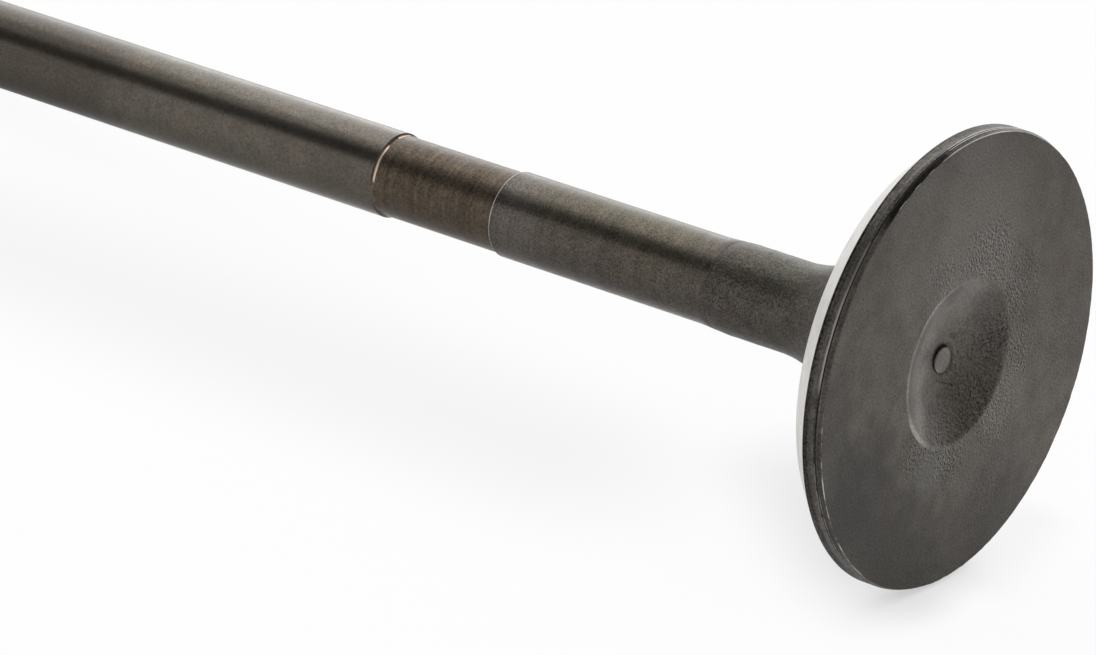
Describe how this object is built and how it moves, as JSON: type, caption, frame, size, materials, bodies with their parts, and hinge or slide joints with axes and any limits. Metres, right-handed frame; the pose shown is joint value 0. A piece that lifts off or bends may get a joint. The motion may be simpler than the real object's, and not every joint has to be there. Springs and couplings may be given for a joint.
{
  "type": "engine valve",
  "caption": "Engine poppet valve in one piece: flat head with a shallow dish and a raised centre spot, 45 degree seat, forged neck, relieved shank and ground stem with a keeper groove.",
  "frame": {"origin": "centre of the flat combustion face, in the plane that the valve stands on", "axes": "+Z runs along the stem from the combustion face to the tip; X and Y are any two radial directions, as the part is round"},
  "size_m": [0.041, 0.041, 0.124],
  "materials": {
    "valve_steel": "dark nitrided steel, with a rough forged neck, a warm brown relief and a pale ground seat face"
  },
  "bodies": {
    "root": {"valve": "valve_steel"}
  },
  "joints": []
}
